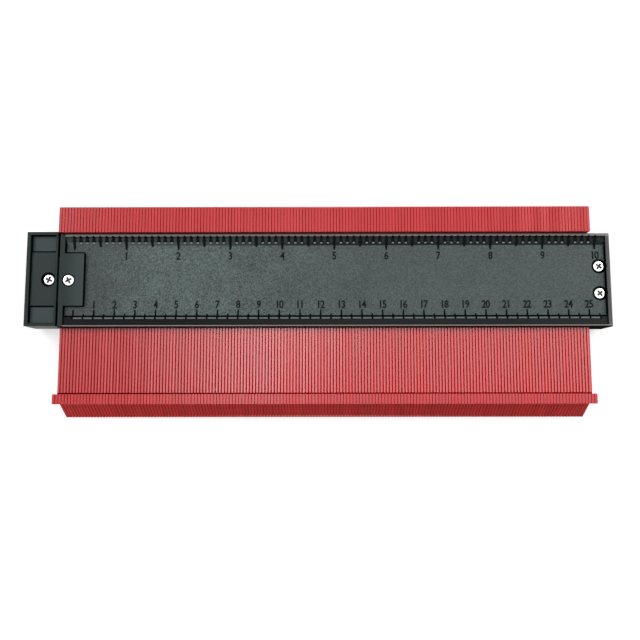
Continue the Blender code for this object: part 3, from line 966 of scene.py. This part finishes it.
def make_cover(node, name, materials):
    """One cover: rim, sunk panel, ledges, pad and band, with painted shade, near black, on its sides, inner
    walls and inner corners, under its panel and round its screws, and a painted highlight on its rims.
    """
    keys = ("rim", "panel", "ledge", "front_ledge", "wall", "pad", "edge_rim", "side", "slope")
    piece = shell_copy(node, name, [materials[key] for key in keys])
    square_corners(piece, COVER_LOW.x, COVER_HIGH.x, COVER_FRONT, COVER_REAR)
    height, faces_out, level = outward_tests(back=node.startswith("back"))
    on_panel = level(PANEL_Z)
    front_rim, rear_rim = COVER_FRONT + FRONT_RIM, COVER_REAR - REAR_RIM

    def between_rims(at):
        return front_rim < at.y < rear_rim

    def by_ledge(at, out):
        low, high = COVER_FRONT + FRONT_PANEL + CORNER_SHADE, COVER_REAR - REAR_PANEL - CORNER_SHADE
        return on_panel(at, out) and not low < at.y < high

    def on_ledge(at, out):
        return faces_out(out) and PANEL_Z + LEVEL < height(at) < LEDGE_Z + 2 * LEVEL

    def on_slope(at, out):
        return on_ledge(at, out) and height(at) < LEDGE_Z - LEVEL

    def on_front_ledge(at, out):
        return on_ledge(at, out) and at.y < COVER_MIDDLE

    # The tops of the front and rear rims, which get a painted highlight
    def on_edge_rim(at, out):
        high_up = faces_out(out) and height(at) > TOP - RIM_SKIN
        return high_up and at.x > BAND_END and not between_rims(at)

    def under_panel(at, out):
        return faces_out(out) and MIDDLE < height(at) < PANEL_Z - LEVEL

    def on_pad(at, out):
        high_up = faces_out(out) and height(at) > TOP - LEVEL and at.x < BAND_END + PAD_LENGTH
        return high_up and (at.x < BAND_END or between_rims(at))

    # Seats round the screw heads, which get painted shade
    def under_screw(at, out):
        return faces_out(out) and in_seat(at) and height(at) < TOP - SEAT_DROP

    edit(piece)
    for place, normal in (
        ((BAND_END, 0, 0), (1, 0, 0)),
        ((RULER_END, 0, 0), (1, 0, 0)),
        ((0, front_rim, 0), (0, 1, 0)),
        ((0, COVER_FRONT + FRONT_SHADE, 0), (0, 1, 0)),
        ((0, rear_rim, 0), (0, 1, 0)),
    ):
        pick_all()
        bpy.ops.mesh.bisect(plane_co=place, plane_no=normal)
    # A ring round the panel, along its inner corners, that is painted shade except by the ledges
    pick_faces(on_panel)
    bpy.ops.mesh.inset(thickness=CORNER_SHADE)
    done()
    # Painted shade on the upright sides and on the ring round the panel
    paint(piece, materials, ("side", is_upright), ("wall", on_panel), ("panel", by_ledge))
    paint_chosen(piece, materials["panel"])
    # A painted highlight on the rims; painted shade on the inner walls, the inner slope of the front ledge,
    # under the panel and round the screws
    paint(
        piece,
        materials,
        ("edge_rim", on_edge_rim),
        ("ledge", on_ledge),
        ("slope", on_slope),
        ("front_ledge", on_front_ledge),
        ("wall", inner_wall_test(node)),
        ("wall", lambda at, out: on_front_ledge(at, out) and out.y > SLOPING),
        ("wall", under_panel),
        ("pad", on_pad),
        ("wall", under_screw),
    )
    round_edges(piece)
    # Painted shade along the front edge of the rim and down the front side
    paint(piece, materials, ("side", lambda at, out: at.y < COVER_FRONT + FRONT_SHADE))
    finish_piece(piece, "frame", "black_plastic", node)


def make_block_half(node, name, materials):
    """One half of the block: rim, sunk panel and two pockets, with painted shade, near black, on its inner
    walls, along its inner corners and under its pockets.
    """
    keys = ("block_rim", "block", "pocket", "wall", "block_side")
    piece = shell_copy(node, name, [materials[key] for key in keys])
    square_corners(piece, BLOCK_LOW.x, BLOCK_LOW.x + BLOCK_LENGTH, BLOCK_LOW.y, BLOCK_HIGH.y)
    height, faces_out, level = outward_tests(back=node.endswith("back"))

    def under_pocket(at, out):
        return faces_out(out) and MIDDLE < height(at) < POCKET_Z - LEVEL

    paint(piece, materials, ("block_side", is_upright))
    # Each sunk level gets a ring of painted shade along its inner corners
    for key, z in (("block", BLOCK_PANEL_Z), ("pocket", POCKET_Z)):
        edit(piece)
        pick_faces(level(z))
        bpy.ops.mesh.inset(thickness=CORNER_SHADE)
        done()
        paint(piece, materials, ("wall", level(z)))
        paint_chosen(piece, materials[key])
    paint(piece, materials, ("wall", inner_wall_test(node)), ("wall", under_pocket))
    round_edges(piece)
    finish_piece(piece, "tension_block", "black_plastic", node)


# Scales


def add_bar(name, width, start, end, bottom, top):
    """A plain bar along Y, centred on x 0."""
    return add_box(name, (-width / 2, min(start, end), bottom), (width / 2, max(start, end), top))


def model_tick(width, start, stops, edge, inward):
    """A thin bar that runs from a ledge down to the panel, at x 0.

    The start and the stops are distances from one long edge of the cover. The bar stays
    on the ledge until the first stop and on the panel after the second.
    """
    places = [edge + inward * stop for stop in stops]
    top = LEDGE_Z + MARK_HEIGHT
    tick = add_bar("tick", width, edge + inward * start, places[0], LEDGE_Z - MARK_SINK, top)
    edit(tick)
    drops = (PANEL_Z - LEDGE_Z, 0)
    for number, (place, next_place) in enumerate(zip(places, places[1:])):
        pick_faces(lambda at, out: out.y * inward > ALONG and abs(at.y - place) < NEAR)
        extrude(y=next_place - place, z=drops[number])
        if number:
            widen(TICK_NARROWING)

    def is_long_top(a, b):
        runs_along = abs(a.x - b.x) < NEAR < abs(a.y - b.y)
        return runs_along and a.z > PANEL_Z and b.z > PANEL_Z

    pick_edges(is_long_top)
    bevel(TICK_ROUNDING)
    done()
    return tick


def repeat(piece, name, places, material):
    """Copies of a piece along X, joined into one piece that rides on the covers."""
    copies = [copy_piece(piece, f"{name}_{number}", (x, 0, 0)) for number, x in enumerate(places)]
    row = join(copies, name)
    row.data.materials.append(material)
    finish_piece(row, "frame", "black_plastic")
    remove(piece)


def model_bar(name, width, start, length, top, edge, inward):
    """A short raised bar with its top edges rounded, at x 0."""
    near, far = edge + inward * start, edge + inward * (start + length)
    bar = add_bar(name, width, near, far, PANEL_Z - MARK_SINK, top)
    edit(bar)
    pick_edges(lambda a, b: min(a.z, b.z) > top - NEAR)
    bevel(BAR_ROUNDING, steps=2)
    done()
    return bar


def make_centimetre_scale(materials):
    """Raised lips between the half centimetres, pale as a painted highlight, and black ticks in their gaps.
    """
    highlight_lip = model_bar("highlight_lip", LIP_LENGTH, LIP_START, LIP_WIDTH, LIP_TOP, COVER_FRONT, 1)
    middles = [CENTIMETRE_ZERO + (number + 0.5) * HALF_CENTIMETRE for number in range(HALF_CENTIMETRES)]
    repeat(highlight_lip, "scale_highlight_lips", middles, materials["highlight_lip"])
    rows = {"centimetre_ticks": (CENTIMETRE_TICK_END, 0), "half_ticks": (HALF_TICK_END, 1)}
    for name, (end, first) in rows.items():
        tick = model_tick(TICK_WIDTH, LIP_START, (FRONT_LEDGE, FRONT_PANEL, end), COVER_FRONT, 1)
        numbers = range(first, HALF_CENTIMETRES + 1, 2)
        places = [CENTIMETRE_ZERO + number * HALF_CENTIMETRE for number in numbers]
        repeat(tick, name, places, materials["mark"])
    reach = LIP_START - FRONT_RIM - FINE_TICK_GAP
    fine = model_bar("fine", FINE_TICK_WIDTH, FRONT_RIM, reach, FINE_TICK_TOP, COVER_FRONT, 1)
    places = [CENTIMETRE_ZERO + number * MM for number in range(MILLIMETRES + 1)]
    repeat(fine, "millimetre_ticks", places, materials["front_ledge"])
    # A dark bar of painted shade along the foot of the lips
    length = RULER_END - BAND_END
    shade_line = model_bar("shade_line", length, SHADE_LINE_START, SHADE_LINE_WIDTH, SHADE_LINE_TOP, COVER_FRONT, 1)
    repeat(shade_line, "scale_shade_line", [(BAND_END + RULER_END) / 2], materials["mark"])


def make_pad_lines(materials):
    """Dark bars of painted shade behind the pad and along the left end of the rear ledge."""
    shade_line = model_bar("shade_line", PAD_LENGTH, PAD_REAR, PAD_SHADE, PAD_SHADE_TOP, COVER_MIDDLE, 1)
    repeat(shade_line, "pad_shade_line", [BAND_END + PAD_LENGTH / 2], materials["mark"])
    reach = REAR_PANEL - REAR_RIM
    shade_line = model_bar("shade_line", END_SHADE, REAR_RIM, reach, END_SHADE_TOP, COVER_REAR, -1)
    repeat(shade_line, "ledge_end_shade_line", [BAND_END + END_SHADE / 2], materials["mark"])


def model_wedge():
    """The wide foot of an inch tick: it widens from the rear rim towards the panel."""
    near = COVER_REAR - REAR_RIM
    wedge = add_bar("wedge", WEDGE_WIDTH, near, near - WEDGE_LENGTH, LEDGE_Z - MARK_SINK, WEDGE_TOP)
    edit(wedge)
    pick_faces(lambda at, out: out.y < -ALONG)
    widen(WEDGE_WIDENING)
    pick_edges(lambda a, b: min(a.z, b.z) > WEDGE_TOP - NEAR)
    bevel(TICK_ROUNDING)
    done()
    return wedge


def make_inch_scale(materials):
    """Black ticks at each eighth of an inch, with a pale spot at the end of the short ones as a painted
    highlight.
    """
    rows = {
        "inch_ticks": (INCH_TICK_END, range(0, EIGHTHS + 1, 8)),
        "half_inch_ticks": (HALF_INCH_TICK_END, range(4, EIGHTHS, 8)),
    }
    for name, (end, numbers) in rows.items():
        stops = (REAR_LEDGE, REAR_PANEL, end)
        tick = model_tick(INCH_TICK_WIDTH, INCH_TICK_START, stops, COVER_REAR, -1)
        repeat(tick, name, [INCH_ZERO + number * EIGHTH for number in numbers], materials["tick"])
    short = [INCH_ZERO + number * EIGHTH for number in range(EIGHTHS) if number % 4]
    tick = model_tick(EIGHTH_TICK_WIDTH, INCH_TICK_START, (REAR_LEDGE,), COVER_REAR, -1)
    repeat(tick, "eighth_ticks", short, materials["tick"])
    # The pale spots are a painted highlight
    highlight_dot = model_bar("highlight_dot", DOT_WIDTH, REAR_LEDGE, DOT_LENGTH, DOT_TOP, COVER_REAR, -1)
    repeat(highlight_dot, "tick_highlight_dots", short, materials["highlight_dot"])
    start = REAR_RIM - ROOT_LENGTH / 2
    root = model_bar("root", ROOT_WIDTH, start, ROOT_LENGTH, ROOT_TOP, COVER_REAR, -1)
    places = [INCH_ZERO + number * EIGHTH for number in range(EIGHTHS + 1)]
    repeat(root, "tick_roots", places, materials["mark"])
    repeat(model_wedge(), "tick_wedges", places, materials["tick"])


def model_digit(number):
    """One digit of unit height, centred on x 0 and standing on y 0."""
    start_on(None)
    bpy.ops.object.text_add()
    digit = bpy.context.object
    digit.data.body = str(number)
    digit.data.resolution_u = DIGIT_STEPS
    digit.data.extrude = MARK_HEIGHT / 2
    digit.data.offset = DIGIT_BOLDNESS
    bpy.ops.object.convert(target="MESH")
    digit = name_piece(f"digit_{number}")
    edit(digit)
    bpy.ops.mesh.remove_doubles(threshold=NEAR / 10)
    done()
    xs = [vertex.co.x for vertex in digit.data.vertices]
    ys = [vertex.co.y for vertex in digit.data.vertices]
    height = max(ys) - min(ys)
    digit.data.transform(Matrix.Translation((-(min(xs) + max(xs)) / 2, -min(ys), 0)))
    digit.data.transform(Matrix.Diagonal((DIGIT_NARROWING / height, 1 / height, 1, 1)))
    return digit


def make_numbers(name, digits, places, height, base, material):
    """The numbers of one scale, each centred on its tick."""
    pieces = []
    for number, x in places:
        text = str(number)
        for place, letter in enumerate(text):
            shift = (place - (len(text) - 1) / 2) * DIGIT_SPACING
            piece = copy_piece(digits[letter], f"{name}_{number}_{place}")
            piece.data.transform(Matrix.Diagonal((height, height, 1, 1)))
            piece.data.transform(Matrix.Translation((x + shift, base, PANEL_Z + MARK_HEIGHT / 4)))
            pieces.append(piece)
    row = join(pieces, name)
    row.data.materials.append(material)
    finish_piece(row, "frame", "black_plastic")


def make_scale_numbers(materials):
    digits = {str(number): model_digit(number) for number in range(10)}
    places = [(number, CENTIMETRE_ZERO + number * 10 * MM) for number in range(1, CENTIMETRES + 1)]
    base = COVER_FRONT + CENTIMETRE_DIGIT_START
    make_numbers("centimetre_numbers", digits, places, CENTIMETRE_DIGIT_HEIGHT, base, materials["digit"])
    places = [(number, INCH_ZERO + number * INCH) for number in range(1, INCHES + 1)]
    base = COVER_REAR - INCH_DIGIT_END - INCH_DIGIT_HEIGHT
    make_numbers("inch_numbers", digits, places, INCH_DIGIT_HEIGHT, base, materials["digit"])
    for digit in digits.values():
        remove(digit)


# Screws


def model_screw(materials):
    """A pan head with a cross recess and a stub of shank, its underside at z 0."""
    start_on(None)
    bpy.ops.mesh.primitive_cylinder_add(
        vertices=HEAD_SIDES, radius=HEAD_RADIUS, depth=HEAD_THICKNESS, location=(0, 0, HEAD_THICKNESS / 2)
    )
    bpy.ops.object.transform_apply(location=True)
    screw = name_piece("screw")
    screw.data.materials.append(materials["plated"])
    screw.data.materials.append(materials["recess"])
    edit(screw)
    pick_edges(lambda a, b: min(a.z, b.z) > HEAD_THICKNESS - NEAR)
    bevel(CROWN, steps=CROWN_STEPS)
    pick_faces(lambda at, out: out.z < -ALONG)
    bpy.ops.mesh.inset(thickness=HEAD_RADIUS - SHANK_RADIUS)
    extrude(z=-SHANK_STUB)
    done()
    for size in ((CROSS_SIZE, CROSS_WIDTH), (CROSS_WIDTH, CROSS_SIZE)):
        cut_arm(screw, *size)
    floor, reach = HEAD_THICKNESS - CROSS_DEPTH - NEAR, CROSS_SIZE / 2 + NEAR

    def in_cross(at, out):
        return floor < at.z < HEAD_THICKNESS - NEAR and math.hypot(at.x, at.y) < reach

    # Painted shade in the cross recess
    paint(screw, materials, ("recess", in_cross))
    start_on(screw)
    bpy.ops.object.shade_smooth_by_angle(angle=SHARP_METAL)
    return screw


def cut_arm(screw, along, across):
    """Cut one tapered arm of the cross recess."""
    floor = HEAD_THICKNESS - CROSS_DEPTH
    arm = add_box("arm", (-along / 2, -across / 2, floor), (along / 2, across / 2, 2 * HEAD_THICKNESS))
    edit(arm)
    pick_faces(lambda at, out: out.z < -ALONG)
    bpy.ops.transform.resize(value=(CROSS_TAPER, CROSS_TAPER, 1), center_override=(0, 0, floor))
    done()
    cut = screw.modifiers.new("arm", "BOOLEAN")
    cut.operation = "DIFFERENCE"
    cut.solver = "EXACT"
    cut.object = arm
    apply_all(screw)
    remove(arm)


def make_screws(materials):
    """Each screw reaches as deep as its node."""
    screw = model_screw(materials)
    for node, turn in SCREW_TURNS.items():
        low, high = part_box(node)
        under = high.z - HEAD_THICKNESS
        centre = ((low.x + high.x) / 2, (low.y + high.y) / 2, under)
        piece = copy_piece(screw, "dressed_" + node, centre, turn)
        edit(piece)
        pick_faces(lambda at, out: out.z < -ALONG and at.z < under - SHANK_STUB + NEAR)
        bpy.ops.transform.translate(value=(0, 0, low.z - (under - SHANK_STUB)))
        done()
        finish_piece(piece, "tension_block" if node == "block_screw" else "frame", "plated_screws", node)
    remove(screw)


# Camera, floor and light


def make_camera():
    camera = bpy.data.objects.new("camera", bpy.data.cameras.new("camera"))
    bpy.context.scene.collection.objects.link(camera)
    camera.location = CAMERA_PLACE
    camera.rotation_euler = CAMERA_TURN
    camera.data.lens = CAMERA_LENS
    camera.data.sensor_width = SENSOR_WIDTH
    camera.data.clip_start = NEAREST_SEEN
    camera.data.clip_end = FARTHEST_SEEN
    bpy.context.scene.camera = camera


def shows_background(nodes):
    """1 for the rays that show the background: to the camera, in gloss and through glass."""
    path = nodes.add("LightPath")
    seen = nodes.math("MAXIMUM", path.outputs["Is Camera Ray"], path.outputs["Is Glossy Ray"])
    return nodes.math("MAXIMUM", seen, path.outputs["Is Transmission Ray"])


def make_floor():
    start_on(None)
    bpy.ops.mesh.primitive_plane_add(size=FLOOR_SIZE, location=(0, 0, -FLOOR_DROP))
    bpy.ops.object.transform_apply(location=True)
    floor = name_piece("floor")
    material, nodes, shader = make_material("floor_white")
    shader.inputs["Base Color"].default_value = (FLOOR_COLOUR, FLOOR_COLOUR, FLOOR_COLOUR, 1)
    shader.inputs["Roughness"].default_value = 1
    shader.inputs["Emission Color"].default_value = (1, 1, 1, 1)
    shader.inputs["Specular IOR Level"].default_value = 0
    glow = nodes.math("MULTIPLY", shows_background(nodes), FLOOR_GLOW)
    nodes.link(glow, shader.inputs["Emission Strength"])
    floor.data.materials.append(material)


def make_world():
    world = bpy.data.worlds.new("studio")
    world.use_nodes = True
    bpy.context.scene.world = world
    nodes = Nodes(world.node_tree)
    background = world.node_tree.nodes["Background"]
    background.inputs["Color"].default_value = (1, 1, 1, 1)
    seen = shows_background(nodes)
    nodes.link(nodes.spread(seen, WORLD_LIGHT, 1.0), background.inputs["Strength"])


def add_light(name, kind, place, aim, power):
    """A light that stands at one place and looks at another."""
    light = bpy.data.objects.new(name, bpy.data.lights.new(name, kind))
    bpy.context.scene.collection.objects.link(light)
    light.data.energy = power
    light.location = place
    light.rotation_euler = (Vector(place) - Vector(aim)).to_track_quat("Z", "Y").to_euler()
    return light


def make_studio():
    make_camera()
    make_floor()
    make_world()
    for name, place in (("left_light", LEFT_LIGHT_FROM), ("right_light", RIGHT_LIGHT_FROM)):
        sun = add_light(name, "SUN", place, (0, 0, 0), SIDE_LIGHT)
        sun.data.angle = SIDE_LIGHT_WIDTH
    for name, (place, aim, size, power) in LAMPS.items():
        lamp = add_light(name, "AREA", place, aim, power)
        lamp.data.shape = "RECTANGLE"
        lamp.data.size, lamp.data.size_y = size
    bpy.context.scene.view_settings.view_transform = "Standard"


def main():
    make_studio()
    materials = make_materials()
    make_leaves(materials)
    make_cover("front_cover", "front_shell", materials)
    make_cover("back_cover", "back_shell", materials)
    make_block_half("tension_block_front", "block_front", materials)
    make_block_half("tension_block_back", "block_back", materials)
    make_centimetre_scale(materials)
    make_inch_scale(materials)
    make_pad_lines(materials)
    make_scale_numbers(materials)
    make_screws(materials)
    for name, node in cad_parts.items():
        if node.hide_render:
            continue
        node.data.materials.clear()
        if name.startswith("friction_strip"):
            node.data.materials.append(materials["felt"])
        elif name == "pressure_plate":
            node.data.materials.append(materials["spring"])
        else:
            node.data.materials.append(materials["plated"])


main()
